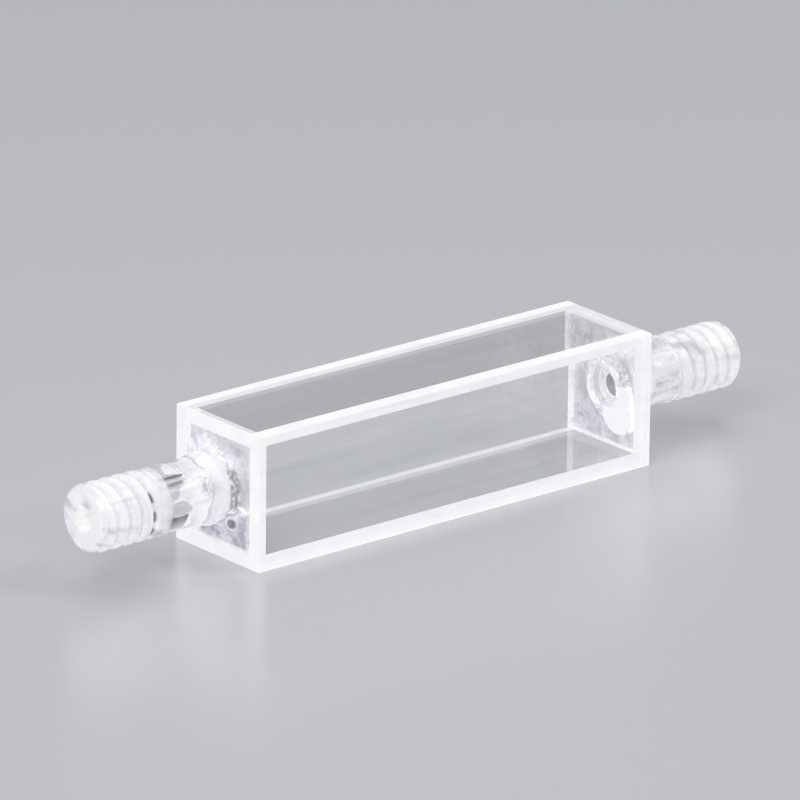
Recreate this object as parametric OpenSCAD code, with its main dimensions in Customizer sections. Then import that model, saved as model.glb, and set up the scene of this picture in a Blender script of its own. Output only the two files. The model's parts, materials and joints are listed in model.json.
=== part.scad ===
// Flow-through cuvette: four polished glass windows bonded into a long square tube, an end plate set into
// each end of it, and a screw-ended glass tube fused to each end plate.
// Millimetres. +X runs along the flow from inlet to outlet and +Z is up.
// The origin is under the middle of the whole part, on the surface that the cell lies on.

/* [Cell] */
// Length of the cell over the ends of its windows
cell_l = 45; // [20:0.5:100]
// Width of the cell over its front and back windows
cell_w = 11.5; // [11:0.25:25]
// Height of the cell over its top and bottom windows
cell_h = 12.5; // [11:0.25:25]
// Thickness of the four long windows
window_t = 1.25; // [0.8:0.05:1.5]
// Thickness of the two end plates
end_t = 1.4; // [0.8:0.05:3]
// Thickness of the bond line between neighbouring windows and plates
bond_t = 0.01; // [0.005:0.005:0.05]
// Width of the arris ground along the outer edges of the bonded cell
arris = 0.12; // [0.05:0.01:0.4]
// Diameter of the port drilled through each end plate
port_d = 4; // [2:0.1:4.4]

/* [Screw tubes] */
// Diameter over the thread crests
thread_d = 6.2; // [6.2:0.05:8]
// Distance from one thread crest to the next
thread_pitch = 1.35; // [0.8:0.05:2]
// Depth of the thread groove below the crests
thread_depth = 0.4; // [0.1:0.05:0.6]
// Diameter of the smooth neck between thread and foot
neck_d = 5.8; // [4.5:0.05:5.8]
// Diameter of the flow bore through each tube
bore_d = 2.2; // [1:0.1:3]
// Length of the inlet tube from its end plate to its tip
inlet_l = 14.8; // [13:0.1:25]
// Height of the inlet tube above the middle of its end plate, where the flame left it
inlet_rise = 0.4; // [0:0.05:0.6]
// Length of the outlet tube from its end plate to its tip
outlet_l = 13.4; // [13:0.1:25]
// Length of the thread on each tube, with the collar that ends it
thread_l = 7.5; // [4:0.1:9]
// Length of the plain collar that ends each thread at its neck
collar_l = 0.5; // [0.3:0.05:1.5]
// Radius melted round the outer edge of each tip
tip_r = 0.7; // [0.2:0.05:1]
// Radius melted round the mouth of the bore at each tip
mouth_r = 0.3; // [0.1:0.05:0.5]

/* [Fused feet] */
// Diameter of the flared foot where a tube is fused to its end plate
foot_d = 7.4; // [6.5:0.1:8.4]
// Diameter of the throat between the foot and the bead above it
throat_d = 5.9; // [4.5:0.1:6.2]
// Diameter of the bead that the glass gathered into above the throat
bead_d = 6.6; // [6.3:0.1:8]
// Distance of the bead's crest from the end plate
bead_at = 1.65; // [1.2:0.05:2.2]
// Distance from the end plate at which the bead has run out into the neck
foot_l = 3.3; // [2.6:0.1:4]

/* [Hidden] */
$fn = 48;

glass = [0.80, 0.86, 0.92, 0.45];
fused_glass = [0.90, 0.93, 0.97, 0.70];

// The whole part is centred on X, so the cell moves off centre when its tubes differ in length.
cell_x0 = (inlet_l - outlet_l - cell_l) / 2;
cell_x1 = cell_x0 + cell_l;
axis_z = cell_h / 2;
// The top and bottom windows are trapped between the front and back ones, and the end plates between all four.
trapped_w = cell_w - 2 * (window_t + bond_t);
trapped_h = cell_h - 2 * (window_t + bond_t);

// Drills and trims run this far past the faces that they cut.
past = 0.5;

thread_r = thread_d / 2;
neck_r = neck_d / 2;
bore_r = bore_d / 2;
port_r = port_d / 2;
foot_r = foot_d / 2;
throat_r = throat_d / 2;
bead_r = bead_d / 2;
// Distance of the throat from the end plate, and the height that the thin edge of the foot keeps
throat_at = 0.4 * bead_at;
edge_h = 0.04;
// The groove deepens over run_in_l after the collar, and runs out again over lead_l at the tip.
run_in_l = 0.5 * thread_pitch;
lead_l = 0.9;
// Depth of the shallow relief between collar and thread, as a share of the thread's depth
relief = 0.35;
// Facets of the thread: round one turn, along one pitch and over the melted tip
turn_steps = 40;
pitch_steps = 9;
tip_steps = 5;
arc_steps = 6;

// A rectangle centred on the origin with its four corners cut off by the arris
module ground_outline(a, b) {
    x = a / 2;
    y = b / 2;
    polygon([
        [x - arris, -y], [x, arris - y], [x, y - arris], [x - arris, y],
        [arris - x, y], [-x, y - arris], [-x, arris - y], [arris - x, -y]
    ]);
}

// The outside of the bonded cell, ground as one block
module ground_cell() {
    translate([cell_x0 + cell_l / 2, 0, axis_z])
        intersection() {
            linear_extrude(cell_h, center = true)
                ground_outline(cell_l, cell_w);
            rotate([90, 0, 0])
                linear_extrude(cell_w, center = true)
                    ground_outline(cell_l, cell_h);
            rotate([90, 0, 90])
                linear_extrude(cell_l, center = true)
                    ground_outline(cell_w, cell_h);
        }
}

// A window as long as the cell, from one corner in Y and Z
module window(y0, z0, w, h) {
    intersection() {
        translate([cell_x0, y0, z0])
            cube([cell_l, w, h]);
        ground_cell();
    }
}

// An end plate that fits between the windows, drilled with its port, with its inlet side at x0
module end_plate(x0) {
    difference() {
        translate([x0, -trapped_w / 2, axis_z - trapped_h / 2])
            cube([end_t, trapped_w, trapped_h]);
        translate([x0 - past, 0, axis_z])
            rotate([0, 90, 0])
                cylinder(h = end_t + 2 * past, r = port_r);
    }
}

// Points of a section that swells or shrinks smoothly from one [radius, height] to another
function swell(from, to) = [
    for (i = [1 : arc_steps])
        let (t = i / arc_steps)
        [from[0] + (to[0] - from[0]) * (1 - cos(180 * t)) / 2, from[1] + (to[1] - from[1]) * t]
];

// Half section of foot, neck and collar, for a collar that starts at height z0: a thin-edged foot whose fillet
// rises from the plate to the throat, the bead above it, the neck, and the step up to the collar
function foot_section(z0) = concat(
    [[0, 0], [foot_r, 0]],
    [for (i = [0 : arc_steps])
        let (a = 90 * i / arc_steps)
        [foot_r - (foot_r - throat_r) * sin(a), throat_at - (throat_at - edge_h) * cos(a)]],
    swell([throat_r, throat_at], [bead_r, bead_at]),
    swell([bead_r, bead_at], [neck_r, foot_l]),
    [[neck_r, z0], [thread_r, z0], [thread_r, z0 + collar_l], [0, z0 + collar_l]]
);

// Radius of a tube of length l before its groove is cut: straight, then melted round at the tip
function blank_r(z, l) =
    let (over = max(0, z - l + tip_r))
    thread_r - tip_r + sqrt(max(0, tip_r * tip_r - over * over));

// Share of the full groove depth at height z, for a thread that leaves its collar at z1 on a tube of length l
function groove_share(z, z1, l) =
    max(0, min(1, (z - z1) / run_in_l, (l - z) / lead_l));

// Share of the groove depth that the relief takes: all of it in the collar, then less and less
function relief_share(z, z1) =
    relief * max(0, min(1, 1 - (z - z1) / run_in_l));

// Right-handed screw surface: a narrow round groove between broad round crests
function screw_r(angle, z, z1, l) =
    let (groove = pow(cos(180 * (z / thread_pitch - angle / 360)), 4))
    blank_r(z, l) - thread_depth * max(relief_share(z, z1), groove * groove_share(z, z1, l));

// Heights of the rings of points: one sunk in the collar, then evenly up the thread, then over the melted tip
function screw_rings(z1, l) =
    let (straight = l - tip_r - z1,
         steps = ceil(pitch_steps * straight / thread_pitch))
    concat(
        [z1 - collar_l / 2],
        [for (i = [1 : steps]) z1 + straight * (i - 0.5) / steps],
        [for (i = [0 : tip_steps]) l - tip_r + tip_r * sin(90 * i / tip_steps)]
    );

// Solid threaded length from the collar's end at z1 to the tip of a tube of length l
module thread(z1, l) {
    rings = screw_rings(z1, l);
    last = len(rings) - 1;
    n = turn_steps;
    polyhedron(
        points = [for (z = rings, j = [0 : n - 1])
            let (a = 360 * j / n, r = screw_r(a, z, z1, l))
            [r * cos(a), r * sin(a), z]],
        faces = concat(
            [[for (j = [0 : n - 1]) j]],
            [for (i = [0 : last - 1], j = [0 : n - 1])
                [i * n + j, (i + 1) * n + j, (i + 1) * n + (j + 1) % n]],
            [for (i = [0 : last - 1], j = [0 : n - 1])
                [i * n + j, (i + 1) * n + (j + 1) % n, i * n + (j + 1) % n]],
            [[for (j = [n - 1 : -1 : 0]) last * n + j]]
        )
    );
}

// What is melted away round the mouth of the bore in a tip at height l
module mouth(l) {
    rotate_extrude()
        polygon(concat(
            [[0, l - mouth_r]],
            [for (i = [0 : arc_steps])
                let (a = 90 * i / arc_steps)
                [bore_r + mouth_r * (1 - cos(a)), l - mouth_r + mouth_r * sin(a)]],
            [[bore_r + mouth_r, l + past], [0, l + past]]
        ));
}

// A tube that stands on its foot along +Z: foot, neck, collar, thread and melted tip, with the flow bore
// through it
module screw_tube(l) {
    collar_z = l - thread_l;
    difference() {
        union() {
            rotate_extrude()
                polygon(foot_section(collar_z));
            thread(collar_z + collar_l, l);
        }
        translate([0, 0, -past])
            cylinder(h = l + 2 * past, r = bore_r);
        mouth(l);
    }
}

module front_window() {
    color(glass)
        window(-cell_w / 2, 0, window_t, cell_h);
}

module back_window() {
    color(glass)
        window(cell_w / 2 - window_t, 0, window_t, cell_h);
}

module top_window() {
    color(glass)
        window(-trapped_w / 2, cell_h - window_t, trapped_w, window_t);
}

module bottom_window() {
    color(glass)
        window(-trapped_w / 2, 0, trapped_w, window_t);
}

module inlet_end_plate() {
    color(glass)
        end_plate(cell_x0);
}

module outlet_end_plate() {
    color(glass)
        end_plate(cell_x1 - end_t);
}

module inlet_tube() {
    color(fused_glass)
        translate([cell_x0, 0, axis_z + inlet_rise])
            rotate([0, -90, 0])
                screw_tube(inlet_l);
}

module outlet_tube() {
    color(fused_glass)
        translate([cell_x1, 0, axis_z])
            rotate([0, 90, 0])
                screw_tube(outlet_l);
}

front_window();
back_window();
top_window();
bottom_window();
inlet_end_plate();
outlet_end_plate();
inlet_tube();
outlet_tube();
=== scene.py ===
# %% [markdown]
# # A flow-through glass cuvette
#
# This part is a small rectangular cell bonded from polished glass windows, with a screw-ended glass tube
# fused to each end so that a liquid can be pumped through it. Nearly all of it is clear, so what the eye
# reads is the rest: the ground edges of the windows, which glow white, the milky threads, and the marks
# that the flame left where the tubes were fused on.
#
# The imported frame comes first. It holds every piece at its true size and place, in metres, and all
# positions below are worked out from it.

# %% Load the frame
import json
import math

import bmesh
import bpy
from mathutils import Matrix, Vector, noise


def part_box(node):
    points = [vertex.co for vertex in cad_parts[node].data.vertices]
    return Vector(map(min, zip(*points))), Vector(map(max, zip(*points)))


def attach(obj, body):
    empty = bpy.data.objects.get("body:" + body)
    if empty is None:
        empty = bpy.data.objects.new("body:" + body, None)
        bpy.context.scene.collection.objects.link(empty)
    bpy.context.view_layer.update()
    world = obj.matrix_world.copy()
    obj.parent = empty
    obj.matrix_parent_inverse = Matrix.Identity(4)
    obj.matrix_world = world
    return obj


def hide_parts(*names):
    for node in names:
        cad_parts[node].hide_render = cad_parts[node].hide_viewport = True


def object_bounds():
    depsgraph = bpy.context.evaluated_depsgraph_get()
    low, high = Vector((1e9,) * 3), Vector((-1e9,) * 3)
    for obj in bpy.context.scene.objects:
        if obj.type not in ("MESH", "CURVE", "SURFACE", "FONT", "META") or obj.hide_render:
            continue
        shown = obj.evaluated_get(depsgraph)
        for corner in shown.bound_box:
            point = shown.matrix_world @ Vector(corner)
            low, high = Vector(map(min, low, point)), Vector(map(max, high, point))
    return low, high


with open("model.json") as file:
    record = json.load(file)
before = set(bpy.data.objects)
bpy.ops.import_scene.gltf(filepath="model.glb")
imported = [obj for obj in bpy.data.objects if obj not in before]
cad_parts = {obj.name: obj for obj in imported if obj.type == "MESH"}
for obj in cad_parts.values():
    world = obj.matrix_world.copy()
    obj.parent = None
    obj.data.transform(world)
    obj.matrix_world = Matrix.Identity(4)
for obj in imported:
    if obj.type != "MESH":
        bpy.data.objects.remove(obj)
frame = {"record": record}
cad_low, cad_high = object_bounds()
print("CAD box in metres:", tuple(round(v, 5) for v in cad_high - cad_low))

# %% [markdown]
# ## Sizes
#
# Every size could be typed in again, but then it could disagree with the frame. So the windows and plates
# are measured on the frame's own nodes. The tubes are round, so their radii, their height and the places
# of their collars come from the mounts that the record states. Only the sizes that neither of them gives,
# such as the pitch of the thread, are named here.

# %% Measure the cell and the tubes
MM = 0.001

cell_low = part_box("front_window")[0]
cell_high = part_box("back_window")[1]
cell_middle = (cell_low + cell_high) / 2
axis_z = cell_middle.z
mounts = {m["name"]: m for m in frame["record"]["mounts"]}
bore_r = mounts["inlet_bore"]["dims"]["r_mm"] * MM
thread_r = mounts["inlet_collar"]["dims"]["r_mm"] * MM
collar_l = mounts["inlet_collar"]["dims"]["length_mm"] * MM
inlet_rise = mounts["inlet_collar"]["pos_m"][2] - axis_z

arris = 0.12 * MM
port_r = 2.0 * MM
foot_r = 3.7 * MM
throat_r, throat_at = 2.95 * MM, 0.66 * MM
bead_r, bead_at = 3.3 * MM, 1.65 * MM
neck_r, neck_at = 3.0 * MM, 3.3 * MM
thread_pitch = 1.35 * MM
thread_depth = 0.4 * MM
tip_r = 0.7 * MM
mouth_r = 0.3 * MM
print(f"cell {(cell_high - cell_low) / MM}, bore radius {bore_r / MM:.2f} mm")
print(f"the inlet stands {inlet_rise / MM:.2f} mm above the middle")

# %% [markdown]
# ## Writing shaders as expressions
#
# A material is a tree of nodes. Wiring each node by hand works, but it hides the idea behind the tree. So
# a socket is wrapped in a small class whose operators add Math nodes: `0.2 + 0.5 * cloud` then builds the
# nodes that work it out.

# %% A socket that works in expressions
class Wire:
    """An output socket that takes part in Python arithmetic."""

    def __init__(self, shader, socket):
        self.shader = shader
        self.socket = socket

    def math(self, operation, *others, flipped=False):
        operands = [*others, self] if flipped else [self, *others]
        return self.shader.add("ShaderNodeMath", {"operation": operation}, dict(enumerate(operands)))

    def __add__(self, other):
        return self.math("ADD", other)

    def __sub__(self, other):
        return self.math("SUBTRACT", other)

    def __rsub__(self, other):
        return self.math("SUBTRACT", other, flipped=True)

    def __mul__(self, other):
        return self.math("MULTIPLY", other)

    def __truediv__(self, other):
        return self.math("DIVIDE", other)

    __radd__ = __add__
    __rmul__ = __mul__

    def clamp(self):
        return self.math("MAXIMUM", 0.0).math("MINIMUM", 1.0)

    def ramp_up(self, start, end):
        """0 before start, 1 after end and a smooth rise between them."""
        ranges = {"interpolation_type": "SMOOTHSTEP"}
        return self.shader.add("ShaderNodeMapRange", ranges, {0: self, 1: start, 2: end})

# %% [markdown]
# Every other node comes from one method, `Shader.add`, which takes a node's type, its settings and its
# inputs. The methods after it are the few nodes that most of the materials below use. Noise always starts
# from Object coordinates, because they stay with a piece wherever it is placed, and need no unwrapped map
# of its surface.

# %% The node tree of a material
class Shader:
    """The node tree of a new material or world."""

    def __init__(self, name, kind="materials"):
        self.owner = getattr(bpy.data, kind).new(name)
        self.owner.use_nodes = True
        self.tree = self.owner.node_tree
        self.tree.nodes.clear()

    def add(self, kind, settings=None, inputs=None, output=0):
        made = self.tree.nodes.new(kind)
        for name, value in (settings or {}).items():
            setattr(made, name, value)
        for name, value in (inputs or {}).items():
            if isinstance(value, Wire):
                self.tree.links.new(value.socket, made.inputs[name])
            else:
                made.inputs[name].default_value = value
        return Wire(self, made.outputs[output] if made.outputs else None)

    def place(self):
        """The point being shaded, in the piece's own coordinates."""
        return self.add("ShaderNodeTexCoord", output="Object")

    def axis(self, letter):
        """One coordinate of that point."""
        return self.add("ShaderNodeSeparateXYZ", None, {0: self.place()}, letter)

    def noise(self, scale, detail=2.0, roughness=0.5, distortion=0.0, stretch=None):
        """Cloudy noise from about 0.3 to 0.7, with scale (times stretch on each axis) blobs to the metre."""
        place = self.place()
        if stretch:
            place = self.add("ShaderNodeMapping", None, {"Vector": place, "Scale": stretch})
        sizes = {"Scale": scale, "Detail": detail, "Roughness": roughness, "Distortion": distortion}
        return self.add("ShaderNodeTexNoise", None, {"Vector": place, **sizes})

    def blend(self, factor, first, second):
        """The first colour where the factor is 0 and the second where it is 1."""
        return self.add("ShaderNodeMix", {"data_type": "RGBA"}, {"Factor": factor, 6: first, 7: second}, 2)

    def bump(self, height, distance, strength):
        sizes = {"Distance": distance, "Strength": strength}
        return self.add("ShaderNodeBump", None, {"Height": height, **sizes})

    def principled(self, **inputs):
        named = {name.replace("_", " "): value for name, value in inputs.items()}
        return self.add("ShaderNodeBsdfPrincipled", None, named)

    def mix(self, factor, first, second):
        return self.add("ShaderNodeMixShader", None, {0: factor, 1: first, 2: second})

    def finish(self, surface, output="ShaderNodeOutputMaterial"):
        self.add(output, None, {"Surface": surface})
        print(f"{self.owner.name}: {len(self.tree.nodes)} nodes")
        return self.owner

# %% [markdown]
# ## Polished glass
#
# The windows are clear and polished. Making them half transparent would be quick, but wouldn't bend the
# view, and it is the bending that draws lines along the edges of a pane. So clear glass is one shader
# with full transmission. A lamp's light can't be traced back through bent glass without a lot of grain,
# so for shadow rays alone the glass gives way to a plain tinted Transparent shader, and the lamps reach
# what lies inside the cell.
#
# A window that has been wiped dry is never quite even. Noise that is drawn out along the cell gives it
# faint streaks, which tint and blur the glass a little.

# %% Polished glass
GLASS_IOR = 1.46
LAMP_SHARE = 0.93


def clear_glass(shader, colour=(1, 1, 1, 1), **inputs):
    """Glass that bends what is seen through it but doesn't block the lamps."""
    glass = shader.principled(Base_Color=colour, Transmission_Weight=1.0, IOR=GLASS_IOR, **inputs)
    lamp_tint = (LAMP_SHARE, LAMP_SHARE, LAMP_SHARE, 1)
    lamp_side = shader.add("ShaderNodeBsdfTransparent", None, {"Color": lamp_tint})
    is_shadow = shader.add("ShaderNodeLightPath", output="Is Shadow Ray")
    return shader.mix(is_shadow, glass, lamp_side)


polished = Shader("polished glass")
wipe = polished.noise(scale=1.0, detail=4.0, stretch=(40.0, 700.0, 700.0)).ramp_up(0.45, 0.75)
glass_tint = polished.blend(wipe, (1, 1, 1, 1), (0.93, 0.94, 0.955, 1))
polished_glass = polished.finish(clear_glass(polished, colour=glass_tint, Roughness=0.004 + 0.03 * wipe))

# %% [markdown]
# ## Ground edges
#
# The windows are sawn and ground to size, and only their large faces are polished. A ground face scatters
# light both ways, so it shows white from outside and through the glass alike, and it glows with the light
# that the pane has trapped and led to its edges. Tracing that light would take far too many bounces, so
# emission stands for it and gives most of the white. A Diffuse and a Translucent share scatter what falls
# on the face, and a fine grain keeps it from looking painted.

# %% Ground glass
EDGE_SCATTER = (0.2, 0.2, 0.21, 1)

ground = Shader("ground glass edge")
edge_grain = ground.noise(scale=9000, detail=3.0, roughness=0.6)
edge_tone = ground.noise(scale=350).ramp_up(0.3, 0.7)
edge_front = ground.principled(
    Base_Color=EDGE_SCATTER,
    Roughness=0.65,
    Normal=ground.bump(edge_grain, 0.03 * MM, 0.35),
    Emission_Color=ground.blend(edge_tone, (0.93, 0.93, 0.96, 1), (0.99, 0.985, 1.0, 1)),
    Emission_Strength=1.38,
)
edge_through = ground.add("ShaderNodeBsdfTranslucent", None, {"Color": EDGE_SCATTER})
ground_glass = ground.finish(ground.mix(0.4, edge_front, edge_through))

# %% [markdown]
# ## Making a piece
#
# Every piece ends in the same way, so one function does it. Points that fell together are merged, the
# faces are turned outwards, and the mesh becomes an object at the origin that rides on the part and
# stands for a node of the frame. Round pieces are shaded smooth, with their sharp edges kept.

# %% Make a piece
MERGE_WITHIN = 1e-7


def make_piece(mesh, name, nodes, materials, smooth_below=None):
    """Turn a mesh into a piece that stands for nodes of the frame."""
    bmesh.ops.remove_doubles(mesh, verts=mesh.verts, dist=MERGE_WITHIN)
    bmesh.ops.recalc_face_normals(mesh, faces=mesh.faces)
    data = bpy.data.meshes.new(name)
    if smooth_below:
        for face in mesh.faces:
            face.smooth = True
    mesh.to_mesh(data)
    mesh.free()
    if smooth_below:
        data.set_sharp_from_angle(angle=math.radians(smooth_below))
    for material in materials:
        data.materials.append(material)
    piece = bpy.data.objects.new(name, data)
    bpy.context.scene.collection.objects.link(piece)
    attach(piece, "root")
    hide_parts(*nodes)
    print(f"{name}: {len(data.polygons)} faces")

# %% [markdown]
# ## Windows
#
# Each window is a block with two polished faces and four ground ones. It starts as a cube that is sized
# to its node in the frame. The arris is the fine bevel that takes the danger out of a glass edge. A Bevel
# modifier would cut all twelve edges, but the maker grinds the arris after bonding, so it runs only where
# two outer faces of the cell meet. `outer_planes` counts how many outer faces a point lies on, and the
# middle of such an edge lies on two.

# %% Windows
ON_PLANE = 0.001 * MM
SQUARE_ON = 0.999


def outer_planes(point):
    """How many of the six outer planes of the cell a point lies on."""
    gaps = [min(point[i] - cell_low[i], cell_high[i] - point[i]) for i in range(3)]
    return sum(gap < ON_PLANE for gap in gaps)


def grind_arris(mesh):
    """Bevel the edges that lie on two outer faces of the cell."""
    outer = [e for e in mesh.edges if outer_planes((e.verts[0].co + e.verts[1].co) / 2) == 2]
    bmesh.ops.bevel(
        mesh,
        geom=outer,
        offset=arris,
        offset_type="OFFSET",
        affect="EDGES",
        segments=1,
        profile=0.5,
        material=-1,
    )


def make_window(node, thin_axis):
    low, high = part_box(node)
    mesh = bmesh.new()
    place = Matrix.Translation((low + high) / 2) @ Matrix.Diagonal((*(high - low), 1))
    bmesh.ops.create_cube(mesh, size=1, matrix=place)
    grind_arris(mesh)
    for face in mesh.faces:
        face.normal_update()
        face.material_index = int(abs(face.normal[thin_axis]) < SQUARE_ON)
    make_piece(mesh, f"{node}_glass", [node], [polished_glass, ground_glass])


for node in ("front_window", "back_window"):
    make_window(node, thin_axis=1)
for node in ("top_window", "bottom_window"):
    make_window(node, thin_axis=2)

# %% [markdown]
# ## Hazed end plates
#
# The plates took the heat when the tubes were fused on. Their faces keep a mottled haze and a white cloud
# above the inlet's foot. The grey of the mottle and the dark patches low on the inlet's plate are painted
# shade, which stands for the dark surroundings that clear glass shows, and the white drop below the
# outlet's port is a painted highlight. The haze also glows, which is painted light. That could be painted
# on a texture by hand. Here it is worked out as a share of white or grey over clear glass, so it stays
# sharp at any distance: soft ellipses say where a mark is, and noise breaks it up.
# Both plates share the material, so `at_ends` gives each end its own value.

# %% Where the plates are marked
EDGE_FADE = 0.6 * MM


def patch(shader, y, z, radius_y, radius_z):
    """1 at a point that is y and z mm from the middle of a plate, falling to 0 on an ellipse round it."""
    across = (shader.axis("Y") / MM - y) / radius_y
    above = ((shader.axis("Z") - axis_z) / MM - z) / radius_z
    return (1.0 - across.math("POWER", 2.0) - above.math("POWER", 2.0)).clamp()


def at_ends(inlet, outlet):
    """One value on the inlet's plate and another on the outlet's."""
    return (inlet + outlet) / 2 + (outlet - inlet) / 2 * end


def from_edge(letter, middle, span):
    """0 at two opposite edges of a plate, rising to 1 further in."""
    return ((0.5 * span - (hazed.axis(letter) - middle).math("ABSOLUTE")) / EDGE_FADE).clamp()


hazed = Shader("hazed glass with painted shade and highlight")
end = hazed.axis("X").math("SIGN")
plate_low, plate_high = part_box("inlet_end_plate")
plate_size = plate_high - plate_low
# A real white haze cloud on the inlet's plate, and a painted highlight below the outlet's port.
cap = patch(hazed, at_ends(1.6, -2.2), at_ends(3.2, -2.2), at_ends(2.6, 2.2), at_ends(1.5, 1.9))
highlight_tail = patch(hazed, -2.9, -0.7, 0.8, 1.8) * at_ends(0.0, 1.0)
clear_spot = patch(hazed, at_ends(-2.7, 2.7), at_ends(0.4, -0.4), 1.2, 1.8)
# Painted shade: dark patches low on the inlet's plate, where clear glass would show dark surroundings.
dark_patch_places = patch(hazed, -3.2, -3.4, 1.6, 2.4) + patch(hazed, 0.6, -4.4, 2.2, 0.8)
off_edges = from_edge("Y", 0.0, plate_size.y) * from_edge("Z", axis_z, plate_size.z)
print(f"end plates {plate_size.y / MM:.2f} x {plate_size.z / MM:.2f} mm")

# %% [markdown]
# The noise comes in three sizes: clouds, mottling and fine grain. It tears the inlet's cloud apart, while
# the outlet's painted highlight keeps a smooth edge. The painted dark patches lie only on the inlet's
# plate. The painted grey fades towards the edges of both plates.

# %% Hazed glass
cloud = hazed.noise(scale=420, detail=4.0, roughness=0.62, distortion=0.6).ramp_up(0.35, 0.72)
mottle = hazed.noise(scale=900, detail=3.0, roughness=0.6).ramp_up(0.45, 0.6)
fine_grain = hazed.noise(scale=2600, detail=3.0, roughness=0.7).ramp_up(0.4, 0.65)
speckled = 0.6 + 0.4 * fine_grain
torn = 1.0 + (cloud - 0.5) * at_ends(1.0, 0.0)
white_cloud_and_highlight = ((cap + highlight_tail) * torn).ramp_up(0.12, at_ends(1.05, 0.45))
# Painted shade: dark patches and a grey mottle, which darken the colour of the haze.
painted_dark_patches = at_ends(1.0, 0.0) * (1.6 * dark_patch_places).clamp() * (0.35 + 0.65 * cloud) * speckled
painted_dark_mottle = (mottle * speckled + painted_dark_patches).clamp() * (1.0 - white_cloud_and_highlight) * off_edges
even_haze = 0.08 + 0.22 * cloud + 0.1 * fine_grain
haze_shade_and_highlight = (even_haze + 0.3 * painted_dark_mottle + 0.4 * painted_dark_patches - 0.3 * clear_spot + 0.9 * white_cloud_and_highlight).clamp()
haze_and_shade_colour = hazed.blend(painted_dark_mottle, (0.95, 0.94, 0.985, 1), (0.38, 0.37, 0.455, 1))
# The haze glows: its emission is painted light.
haze_with_painted_glow = hazed.principled(
    Base_Color=haze_and_shade_colour, Roughness=0.4, Emission_Color=haze_and_shade_colour, Emission_Strength=0.4
)
waves = hazed.noise(scale=500) * patch(hazed, 0.0, 0.0, 4.8, 5.2)
hazed_clear = clear_glass(hazed, Roughness=0.02, Normal=hazed.bump(waves, 0.1 * MM, 0.2))
hazed_glass = hazed.finish(hazed.mix(haze_shade_and_highlight, hazed_clear, haze_with_painted_glow))

# %% [markdown]
# ## End plates
#
# An end plate is a drilled block, set between the windows. A Boolean could drill it, but would leave one
# large face, and the outer face of the real plate has sagged a little in the flame. So the plate starts
# as two loops with the same number of edges, the port and the plate's outline. They are bridged into a
# flat ring, which is cut into small faces and extruded to the plate's thickness. `sag` then moves the
# points of the outer face.

# %% End plates
PORT_SIDES = 96
RING_CUTS = 40


def sag(point, low, high):
    """How far the softened outer face of a plate has sunk at a point, in metres."""
    off_axis = math.hypot(point.y, point.z - axis_z)
    to_edge = min(point.y - low.y, high.y - point.y, point.z - low.z, high.z - point.z)
    inside = max(0, min(1, to_edge / MM - 0.5))
    beside_foot = max(0, min(1, (off_axis - foot_r) / (0.4 * MM)))
    ripple = 0.5 + noise.noise(point * 600)
    return 0.04 * MM * inside * beside_foot * max(0, ripple)


def add_drilled_ring(mesh, low, high):
    """A flat ring at low.x from the port to the outline of a plate, cut into small faces."""
    middle = (low + high) / 2
    place = Matrix.Translation((low.x, middle.y, middle.z)) @ Matrix.Rotation(math.radians(90), 4, "Y")
    port = bmesh.ops.create_circle(mesh, cap_ends=False, radius=port_r, segments=PORT_SIDES, matrix=place)
    port_edges = {e for v in port["verts"] for e in v.link_edges}
    square = Matrix.Rotation(math.radians(45), 4, "Z")
    stretch = Matrix.Diagonal((high.z - low.z, high.y - low.y, 1, 1))
    bmesh.ops.create_circle(
        mesh, cap_ends=False, radius=math.sqrt(0.5), segments=4, matrix=place @ stretch @ square
    )
    outline = [e for e in mesh.edges if e not in port_edges]
    bmesh.ops.subdivide_edges(mesh, edges=outline, cuts=PORT_SIDES // 4 - 1)
    ring = bmesh.ops.bridge_loops(mesh, edges=mesh.edges[:])["faces"]
    spokes = {e for face in ring for e in face.edges if len(e.link_faces) == 2}
    bmesh.ops.subdivide_edges(mesh, edges=list(spokes), cuts=RING_CUTS, use_grid_fill=True)


def make_end_plate(node):
    low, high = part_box(node)
    outward = -1 if low.x < cell_middle.x else 1
    outer_x = low.x if outward < 0 else high.x
    mesh = bmesh.new()
    add_drilled_ring(mesh, low, high)
    grown = bmesh.ops.extrude_face_region(mesh, geom=mesh.faces[:])["geom"]
    moved = [v for v in grown if isinstance(v, bmesh.types.BMVert)]
    bmesh.ops.translate(mesh, verts=moved, vec=(high.x - low.x, 0, 0))
    bmesh.ops.recalc_face_normals(mesh, faces=mesh.faces)
    for face in mesh.faces:
        face.normal_update()
        at = face.calc_center_median()
        in_port = math.hypot(at.y, at.z - axis_z) < port_r + ON_PLANE
        face.material_index = 0 if in_port or abs(face.normal.x) > SQUARE_ON else 1
    for v in mesh.verts:
        if abs(v.co.x - outer_x) < ON_PLANE:
            v.co.x -= outward * sag(v.co, low, high)
    materials = [hazed_glass, ground_glass]
    make_piece(mesh, f"{node}_glass", [node], materials, smooth_below=30)


for node in ("inlet_end_plate", "outlet_end_plate"):
    make_end_plate(node)

# %% [markdown]
# ## Screw tubes
#
# Each tube has a thin-edged foot that has melted onto the plate, a throat, the bead that the glass
# gathered into, a smooth neck, a collar, the thread, and a tip and mouth that the flame has rounded. All
# of it is round except the thread, so it is spun from one half section: points of radius and height, on
# arcs and straight lines. A few cylinders could be stacked up instead, but would meet in hard edges that
# molten glass never has. The thread's straight line is cut into short steps, so that there are points
# enough for its groove.

# %% The section of a tube
SUNK = 0.006 * MM
FOOT_EDGE = 0.02 * MM
BASE_R = 0.2 * MM


def arc(middle, radii, start, end, steps=8):
    """Points on an elliptical arc of the section, between two angles in degrees."""
    turns = [math.radians(start + (end - start) * i / steps) for i in range(steps + 1)]
    return [(middle[0] + radii[0] * math.cos(t), middle[1] + radii[1] * math.sin(t)) for t in turns]


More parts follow.
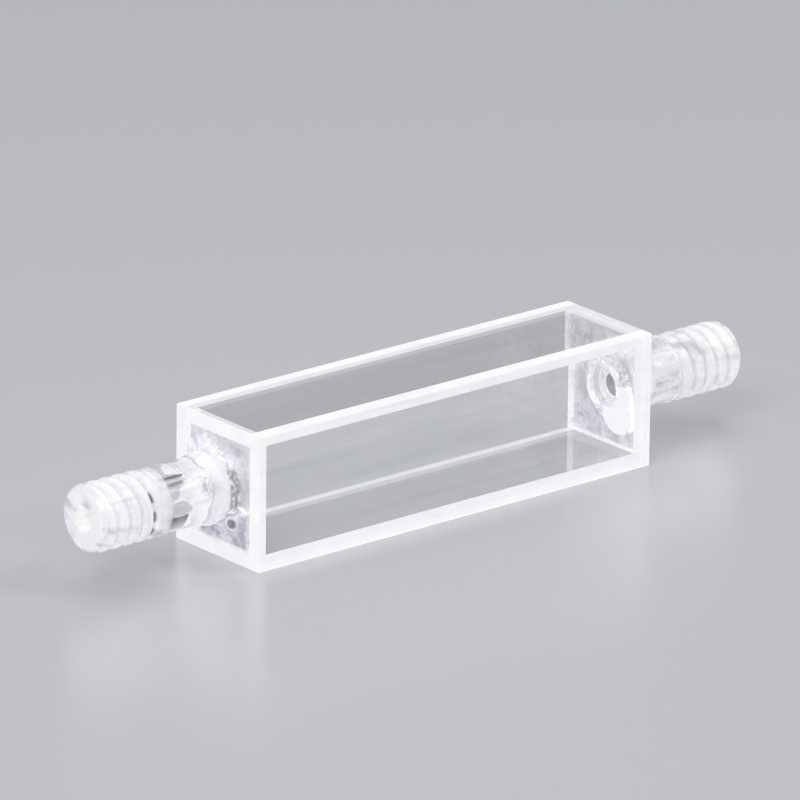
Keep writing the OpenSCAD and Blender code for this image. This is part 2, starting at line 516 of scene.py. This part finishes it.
def line(start, end, step):
    """Points from start to end, no further apart than step, without the two ends."""
    count = max(1, math.ceil(math.dist(start, end) / step))
    return [
        (start[0] + (end[0] - start[0]) * i / count, start[1] + (end[1] - start[1]) * i / count)
        for i in range(1, count)
    ]


def swell(start, end, steps):
    """Points that swell or shrink smoothly from one radius and height to another, without the first."""
    shares = [(i / steps, (1 - math.cos(math.pi * i / steps)) / 2) for i in range(1, steps + 1)]
    return [
        (start[0] + (end[0] - start[0]) * eased, start[1] + (end[1] - start[1]) * share)
        for share, eased in shares
    ]


def tube_section(length, collar_at):
    """Half section of a tube that stands on its foot, from the foot's edge up and down the bore."""
    thread_at = collar_at + collar_l
    fillet = arc((foot_r, throat_at), (foot_r - throat_r, throat_at - FOOT_EDGE), -90, -180, 20)
    bead = swell((throat_r, throat_at), (bead_r, bead_at), 14)
    neck_start = swell((bead_r, bead_at), (neck_r, neck_at), 20)
    step_r = (thread_r - neck_r) / 2
    step_in = arc((neck_r + step_r, collar_at - step_r), (step_r, step_r), 180, 90, 4)
    step_out = arc((thread_r - step_r, collar_at + step_r), (step_r, step_r), -90, 0, 4)
    tip = arc((thread_r - tip_r, length - tip_r), (tip_r, tip_r), 0, 90, 10)
    mouth = arc((bore_r + mouth_r, length - mouth_r), (mouth_r, mouth_r), 90, 180)
    base = arc((bore_r + BASE_R, BASE_R - SUNK), (BASE_R, BASE_R), 180, 270)
    neck = line(neck_start[-1], step_in[0], 0.15 * MM)
    thread = line((thread_r, thread_at), tip[0], thread_pitch / 18)
    bore = line(mouth[-1], base[0], 0.5 * MM)
    foot = [(foot_r, -SUNK), *fillet, *bead, *neck_start]
    outside = foot + neck + step_in + step_out[1:] + [(thread_r, thread_at)] + thread + tip
    return outside + mouth + bore + base


print("points in the section of a 14 mm tube:", len(tube_section(14 * MM, 7 * MM)))

# %% [markdown]
# ## The groove of the thread
#
# The thread is a round groove that winds up the tube. A profile could be swept along a helix and cut out,
# but its ends would stop dead. Instead each point of the spun tube moves inwards by the depth of the
# groove at its own angle and height. The fourth power of a cosine leaves broad round crests and a narrow
# round groove, and a share lets it deepen over half a turn after the collar and run out again over the
# melted tip.
#
# `between` is used for most of the marks further on: it says where something starts, is full, fades and
# ends.

# %% Groove depth
RUN_IN = 0.5 * thread_pitch
RUN_OUT = 0.9 * MM
RELIEF = 0.35


def groove_depth(angle, height, thread_at, length):
    """Depth of the groove below the crests at an angle and a height of a tube."""
    share = max(0, min(1, (height - thread_at) / RUN_IN, (length - height) / RUN_OUT))
    faded = RELIEF * max(0, min(1, 1 - (height - thread_at) / RUN_IN))
    wave = math.cos(math.pi * height / thread_pitch - angle / 2) ** 4
    return thread_depth * max(faded * (height > thread_at), wave * share)


def between(value, start, full, fade, end):
    """1 from full to fade, and falling to 0 at start and at end."""
    return max(0.0, min(1.0, (value - start) / (full - start), (end - value) / (end - fade)))


round_the_tube = [groove_depth(math.radians(a), 11 * MM, 7 * MM, 14 * MM) for a in range(360)]
print(f"groove from {min(round_the_tube) / MM:.2f} to {max(round_the_tube) / MM:.2f} mm deep")

# %% [markdown]
# ## Milk in the glass
#
# The thread was pressed into hot glass, which left a milky skin on it, a little thinner in the groove and
# on the rim of the tip. The bead is white too, but its white is a painted highlight, the gloss of a lamp
# on its swell. The outlet's neck is smeared with streaks, while the inlet's neck is nearly clear. All
# this follows the section of the tube, which a shader doesn't know. So it is worked out for each point of
# the mesh, from 0 for clear to 1 for white, and kept there as an attribute for the shader to read.

# %% How milky a point is
def milkiness(point, groove, collar_at, length, smeared):
    """Share of white in the glass: most on the crests and on the bead, where it is a painted highlight, less
    on the rim and the neck.
    """
    on_thread = max(0.0, min(1.0, (point.z - collar_at + 0.1 * MM) / (0.3 * MM)))
    on_rim = between(point.xy.length, thread_r - 0.45 * MM, thread_r - 0.2 * MM, 1, 2)
    melted_rim = on_rim * between(length - point.z, -0.1 * MM, 0.0, 0.3 * MM, 0.7 * MM)
    crest = 1.0 - 0.35 * groove / thread_depth - 0.5 * melted_rim
    # The white on the bead is a painted highlight.
    on_bead_highlight = between(point.z, 0.5 * MM, 0.9 * MM, 2.4 * MM, 3.1 * MM)
    puff = 0.5 + noise.noise(point * 700 + Vector((7, 0, 0)))
    drawn_out = Vector((point.x * 650, point.y * 650, point.z * 160))
    smear = max(0.0, min(1.0, 0.5 + 1.6 * noise.noise(drawn_out), (point.z - 0.9 * MM) / (0.6 * MM)))
    neck = 0.12 * max(0.0, puff) + on_bead_highlight * max(0.0, min(1.2, 0.85 + 0.9 * puff))
    neck = max(neck, 0.75 * smeared * smear)
    return max(0.0, min(1.2, on_thread * crest + (1 - on_thread) * neck))


on_crest = Vector((0, thread_r, 11 * MM))
print(f"white on a crest: {milkiness(on_crest, 0.0, 7 * MM, 14 * MM, False):.2f}")

# %% [markdown]
# ## Painted shade and grey patches
#
# The grey attribute is painted shade: in the groove, where the inlet's first full turn has a row of dark
# dashes, and in the crevice under the inlet's foot. The start of the outlet's bore is painted grey too, so
# that it reads as a dark hole through its plate. A few grey patches lie on the threads as well. A shader
# that looks for sharp corners could find the shade in a crevice, but it would find every crevice. An
# attribute can say which ones.

# %% How grey a point is
MARKED_SIDE = (-75, -60, 35, 50)
DASH_SPACING = 37


def smoke(point, groove, collar_at, on_inlet):
    """How grey a point is: painted shade in the groove, dashed in its first full turn, and at the foot, and
    grey patches.
    """
    height = point.z - collar_at
    angle = math.degrees(math.atan2(point.x, -point.y))
    on_side = on_inlet * between(angle, *MARKED_SIDE)
    # Painted shade: a row of dark dashes in the inlet's first full groove.
    first_turn = on_side * between(height, 1.1 * MM, 1.5 * MM, 2.4 * MM, 2.8 * MM)
    dashes = max(0.0, min(1.0, 0.6 + 1.3 * math.cos(math.tau * (angle + 5) / DASH_SPACING)))
    # Painted shade in the groove.
    in_groove = (groove / thread_depth) ** 4 * (0.4 - 0.18 * on_inlet + 1.3 * first_turn * dashes)
    grey_patch = max(0.0, noise.noise(Vector((point.x * 900, point.y * 900, point.z * 300))) - 0.22)
    flecks = max(0.0, min(1.0, 0.55 + 1.5 * noise.noise(point * 3800) + noise.noise(point * 1500)))
    # Painted shade in the crevice under the inlet's foot.
    crevice = 0.9 * flecks * on_side * between(point.z, -0.1 * MM, 0.05 * MM, 0.75 * MM, 1.0 * MM)
    return max(0.0, min(1.0, in_groove + 1.2 * grey_patch * (height > 0) + crevice))


def shade_point(point, in_bore, groove, collar_at, length, is_inlet):
    """How milky and how grey a point is, on a tube that stands on its foot."""
    if in_bore:
        near_tip = max(0.0, 1.0 - (length - point.z) / (4 * MM))
        # Painted shade makes the start of the outlet's bore read as a dark hole.
        grey = (not is_inlet) * between(point.z, -1, 0, 1.2 * MM, 3.0 * MM)
        milk = max(0.9 * near_tip, 0.8 * grey)
    else:
        grey = smoke(point, groove, collar_at, is_inlet)
        milk = max(grey, milkiness(point, groove, collar_at, length, not is_inlet))
    if not is_inlet and point.z > collar_at:
        milk *= 0.88
    return milk, grey


print(f"grey on a crest: {smoke(on_crest, 0.0, 7 * MM, True):.2f}, and in the groove: "
      f"{smoke(on_crest, thread_depth, 7 * MM, True):.2f}")

# %% [markdown]
# ## Tube glass
#
# The shader mixes the clear glass of the neck with a soft white by how milky the point is. The milk lies
# just under a smooth skin, so the white is half diffuse and half translucent, under a glossy coat, and it
# glows: the emission is painted light, which stands for light that the glass traps. Subsurface would be
# closer to the truth, but slower and grainier. Streaks along the tube break the white up, the painted
# shade of the grey attribute turns it grey, and round the inlet's bore it is painted a little warm, a
# painted glint that stands for light that has come a long way through glass.

# %% Tube glass
tube = Shader("fused tube glass")
milky = tube.add("ShaderNodeAttribute", {"attribute_name": "milk"}, output="Fac")
greyed = tube.add("ShaderNodeAttribute", {"attribute_name": "grey"}, output="Fac")
drawn_streaks = tube.noise(scale=1.0, detail=3.0, distortion=0.4, stretch=(250.0, 1500.0, 1500.0))
milk_share = (milky * (0.8 + 0.2 * drawn_streaks.ramp_up(0.3, 0.7))).clamp()
# A painted warm glint round the inlet's bore.
glint_round_bore = patch(tube, 0.0, inlet_rise / MM, 1.5, 1.5).ramp_up(0.0, 0.6)
milk_with_painted_glint = tube.blend(glint_round_bore, (0.95, 0.95, 0.97, 1), (0.965, 0.955, 0.895, 1))
# The grey is painted shade.
milk_and_shade_colour = tube.blend(greyed, milk_with_painted_glint, (0.16, 0.16, 0.19, 1))
tube_normal = tube.bump(tube.noise(scale=700), 0.1 * MM, 0.3)
tube_clear = clear_glass(tube, Roughness=0.03, Normal=tube_normal)
# The emission is painted light: a glow that stands for light the glass traps.
milk_front = tube.principled(
    Base_Color=milk_and_shade_colour,
    Roughness=0.35,
    Normal=tube_normal,
    Coat_Weight=1.0,
    Coat_Roughness=0.06,
    Emission_Color=milk_and_shade_colour,
    Emission_Strength=0.52,
)
milk_through = tube.add("ShaderNodeBsdfTranslucent", None, {"Color": milk_and_shade_colour})
tube_glass = tube.finish(tube.mix(milk_share, tube_clear, tube.mix(0.5, milk_front, milk_through)))

# %% [markdown]
# ## A blister and its ripple
#
# Beside the inlet's foot a drop of glass has fallen on the plate: a low dome, and a fine ripple of glass
# drawn up over it. The dome's white rim and dark heart are a painted highlight and painted shade, the way
# a small lens looks, and the ripple's white is a painted reflection of a bright edge bent through the
# plate. Bump could fake both shapes, but not from the side. The dome is a flattened sphere whose lower
# half is pushed up to the plate. The ripple is a small circle that is spun through part of a turn, and
# its two ends are closed.

# %% Blister and ripple
BLISTER = Vector((-2.93, -2.2, 0.0)) * MM
BLISTER_R = 0.75 * MM
# The blister's dark heart is painted shade, and its white rim is a painted highlight.
HEART = BLISTER - Vector((0.0, 0.35, 0.0)) * BLISTER_R
RIPPLE = BLISTER + Vector((0.1, -0.9, 0.0)) * MM
RIPPLE_R = 1.5 * MM
RIPPLE_THICK_R = 0.17 * MM
RIPPLE_FROM, RIPPLE_TURN = math.radians(78), math.radians(-118)


def add_blister(mesh, milk, grey):
    old = set(mesh.verts)
    place = Matrix.Translation(BLISTER) @ Matrix.Diagonal((1, 1, 0.7, 1))
    bmesh.ops.create_uvsphere(mesh, u_segments=48, v_segments=24, radius=BLISTER_R, matrix=place)
    for v in set(mesh.verts) - old:
        v.co.z = max(v.co.z, -SUNK)
        # Painted shade in the heart, and a painted highlight on the rim.
        off_heart = (v.co - HEART).xy.length / BLISTER_R
        v[grey] = 1.0 - between(off_heart, 0.5, 0.65, 2, 3)
        v[milk] = 0.85


def add_ripple(mesh, milk):
    old = set(mesh.verts)
    start = Matrix.Translation(RIPPLE) @ Matrix.Rotation(RIPPLE_FROM, 4, "Z")
    across = Matrix.Translation((RIPPLE_R, 0, 0)) @ Matrix.Rotation(math.radians(90), 4, "X")
    rod = bmesh.ops.create_circle(
        mesh, cap_ends=False, radius=RIPPLE_THICK_R, segments=16, matrix=start @ across
    )
    bmesh.ops.spin(
        mesh,
        geom=rod["verts"] + list({e for v in rod["verts"] for e in v.link_edges}),
        cent=RIPPLE,
        axis=(0, 0, 1),
        angle=RIPPLE_TURN,
        steps=24,
    )
    bmesh.ops.holes_fill(mesh, edges=[e for e in mesh.edges if e.is_boundary])
    # The ripple's white is a painted reflection of a bright edge bent through the plate.
    for v in set(mesh.verts) - old:
        v[milk] = 0.9

# %% [markdown]
# ## Spin the tubes
#
# The section is spun into a closed tube that stands on its foot. Each point then gets its milk and grey,
# and moves by what the groove and the flame do there. The flame has left the neck lumpy, and has drawn
# the thin edge of the foot back further in some directions than in others. Last, the tube is turned onto
# its plate, at the height that its collar's mount gives.

# %% Spin the tubes and cut their threads
TURN_STEPS = 168


def melt(point, strength):
    """How far molten glass has slumped outwards at a point."""
    return strength * noise.noise(point * 420) + 0.5 * strength * noise.noise(point * 900)


def spun_tube(length, collar_at):
    mesh = bmesh.new()
    section = [mesh.verts.new((r, 0, z)) for r, z in tube_section(length, collar_at)]
    edges = [mesh.edges.new(pair) for pair in zip(section, section[1:] + section[:1])]
    bmesh.ops.spin(
        mesh,
        geom=section + edges,
        cent=(0, 0, 0),
        axis=(0, 0, 1),
        angle=math.tau,
        steps=TURN_STEPS,
        use_merge=True,
    )
    return mesh


def make_tube(name, plate_x, tip_x):
    direction = 1 if tip_x > plate_x else -1
    own_noise = Vector((0, 0, 3 * direction))
    length = abs(tip_x - plate_x)
    collar_x, _, tube_z = mounts[f"{name}_collar"]["pos_m"]
    collar_at = abs(collar_x - plate_x) - collar_l / 2
    mesh = spun_tube(length, collar_at)
    milk = mesh.verts.layers.float.new("milk")
    grey = mesh.verts.layers.float.new("grey")
    for v in mesh.verts:
        radius = math.hypot(v.co.x, v.co.y)
        in_bore = radius < bore_r + 0.01 * MM
        groove = groove_depth(math.atan2(v.co.y, v.co.x), v.co.z, collar_at + collar_l, length)
        v[milk], v[grey] = shade_point(v.co, in_bore, groove, collar_at, length, name == "inlet")
        outside = min(1.0, max(0.0, (radius - bore_r - mouth_r) / (0.5 * MM)))
        on_neck = max(0.0, min(1.0, v.co.z / MM, (collar_at - v.co.z) / MM))
        wobble = melt(v.co + own_noise, 0.08 * MM) * on_neck
        spread = max(0.0, radius - throat_r) * max(0.0, 1.0 - v.co.z / throat_at)
        drawn_back = 0.7 * spread * (0.5 + noise.noise(v.co.normalized() * 1.7 + own_noise))
        scale = (radius + outside * (wobble - groove - drawn_back)) / radius
        v.co.x *= scale
        v.co.y *= scale
    if name == "inlet":
        add_blister(mesh, milk, grey)
        add_ripple(mesh, milk)
    turn = Matrix.Translation((plate_x, 0, tube_z)) @ Matrix.Rotation(math.radians(90 * direction), 4, "Y")
    bmesh.ops.transform(mesh, matrix=turn, verts=mesh.verts)
    make_piece(mesh, f"{name}_tube_glass", [f"{name}_tube"], [tube_glass], smooth_below=50)


make_tube("inlet", cell_low.x, cad_low.x)
make_tube("outlet", cell_high.x, cad_high.x)

# %% [markdown]
# ## Floor
#
# Clear glass shows whatever lies behind it, so the floor is one large plain plane with nothing on it. It
# is a mid-pale grey, because white edges would be lost on white, and it is smooth enough for a faint
# reflection.

# %% Floor
floor_shader = Shader("pale floor")
floor_grey = floor_shader.principled(Base_Color=(0.58, 0.59, 0.61, 1), Roughness=0.25)
floor_material = floor_shader.finish(floor_grey)
floor_mesh = bmesh.new()
bmesh.ops.create_grid(floor_mesh, x_segments=1, y_segments=1, size=4.0)
floor_data = bpy.data.meshes.new("floor")
floor_mesh.to_mesh(floor_data)
floor_mesh.free()
floor_data.materials.append(floor_material)
floor = bpy.data.objects.new("floor", floor_data)
floor.location.z = cad_low.z - 0.02 * MM
bpy.context.scene.collection.objects.link(floor)

# %% [markdown]
# ## Light
#
# The world is a dim room with a bright ceiling, since even light from everywhere would make round glass
# look flat. Three large soft lamps add the highlights. They hang high, because a low lamp would be
# mirrored in the polished windows and turn them white.

# %% World and lamps
sky = Shader("studio", "worlds")
direction = sky.add("ShaderNodeTexCoord", output="Generated")
height = sky.add("ShaderNodeSeparateXYZ", None, {0: direction}, "Z")
level = 0.06 + 0.64 * height.ramp_up(0.1, 0.8)
bpy.context.scene.world = sky.finish(
    sky.add("ShaderNodeBackground", None, {"Color": (0.97, 0.98, 1.0, 1), "Strength": level}),
    "ShaderNodeOutputWorld",
)


def soft_lamp(name, place, size, watts):
    """A square lamp that faces the middle of the cell."""
    light = bpy.data.lights.new(name, "AREA")
    light.size = size
    light.energy = watts
    lamp = bpy.data.objects.new(name, light)
    lamp.location = place
    lamp.rotation_euler = (Vector(place) - cell_middle).to_track_quat("Z", "Y").to_euler()
    bpy.context.scene.collection.objects.link(lamp)
    print(f"{name}: {watts} W")


soft_lamp("overhead softbox", (0.05, 0.15, 0.8), 0.6, 1.5)
soft_lamp("left softbox", (-0.5, -0.25, 0.55), 0.35, 1.3)
soft_lamp("right softbox", (0.4, -0.5, 0.6), 0.35, 1.2)

# %% [markdown]
# ## Camera
#
# A wide lens close by would make the near end of such a long part look swollen, so a long lens looks at
# it from nearly a metre away. The camera's three axes are worked out from its azimuth, elevation and
# roll. It aims a little above the middle of the cell and to the left of it, which leaves room for the
# reflection below.

# %% Camera
CAMERA_AZIMUTH = math.radians(-40.05)
CAMERA_ELEVATION = math.radians(19.37)
CAMERA_ROLL = math.radians(0.66)
CAMERA_DISTANCE = 0.9306
AIM_LEFT, AIM_UP = 1.43 * MM, 3.04 * MM

away = Vector((
    math.sin(CAMERA_AZIMUTH) * math.cos(CAMERA_ELEVATION),
    -math.cos(CAMERA_AZIMUTH) * math.cos(CAMERA_ELEVATION),
    math.sin(CAMERA_ELEVATION),
))
level_right = Vector((math.cos(CAMERA_AZIMUTH), math.sin(CAMERA_AZIMUTH), 0))
level_up = away.cross(level_right)
right = level_right * math.cos(CAMERA_ROLL) + level_up * math.sin(CAMERA_ROLL)
up = level_up * math.cos(CAMERA_ROLL) - level_right * math.sin(CAMERA_ROLL)
aim = cell_middle - AIM_LEFT * level_right + AIM_UP * level_up
axes = Matrix((right, up, away)).transposed().to_4x4()
camera_data = bpy.data.cameras.new("camera")
camera_data.lens = 475.515
camera_data.sensor_width = 36.0
camera_data.clip_start = 0.01
camera = bpy.data.objects.new("camera", camera_data)
camera.matrix_world = Matrix.Translation(aim + away * CAMERA_DISTANCE) @ axes
bpy.context.scene.collection.objects.link(camera)
bpy.context.scene.camera = camera
print(f"camera {CAMERA_DISTANCE:.2f} m away, {camera_data.lens:.0f} mm lens")

# %% [markdown]
# ## Colour and light paths
#
# The plain Standard view shows colours as they are written, where a filmic one would dull the white
# edges. Light that crosses four windows and a tube meets many faces of glass, so it may bounce more often
# than usual before it is given up, or the tubes would show black spots.

# %% Colour and light paths
GLASS_BOUNCES = 24
CLEAR_BOUNCES = 32

bpy.context.scene.view_settings.view_transform = "Standard"
bpy.context.scene.cycles.max_bounces = GLASS_BOUNCES
bpy.context.scene.cycles.transmission_bounces = GLASS_BOUNCES
bpy.context.scene.cycles.transparent_max_bounces = CLEAR_BOUNCES
print(f"light may bounce {GLASS_BOUNCES} times, and pass {CLEAR_BOUNCES} clear faces")
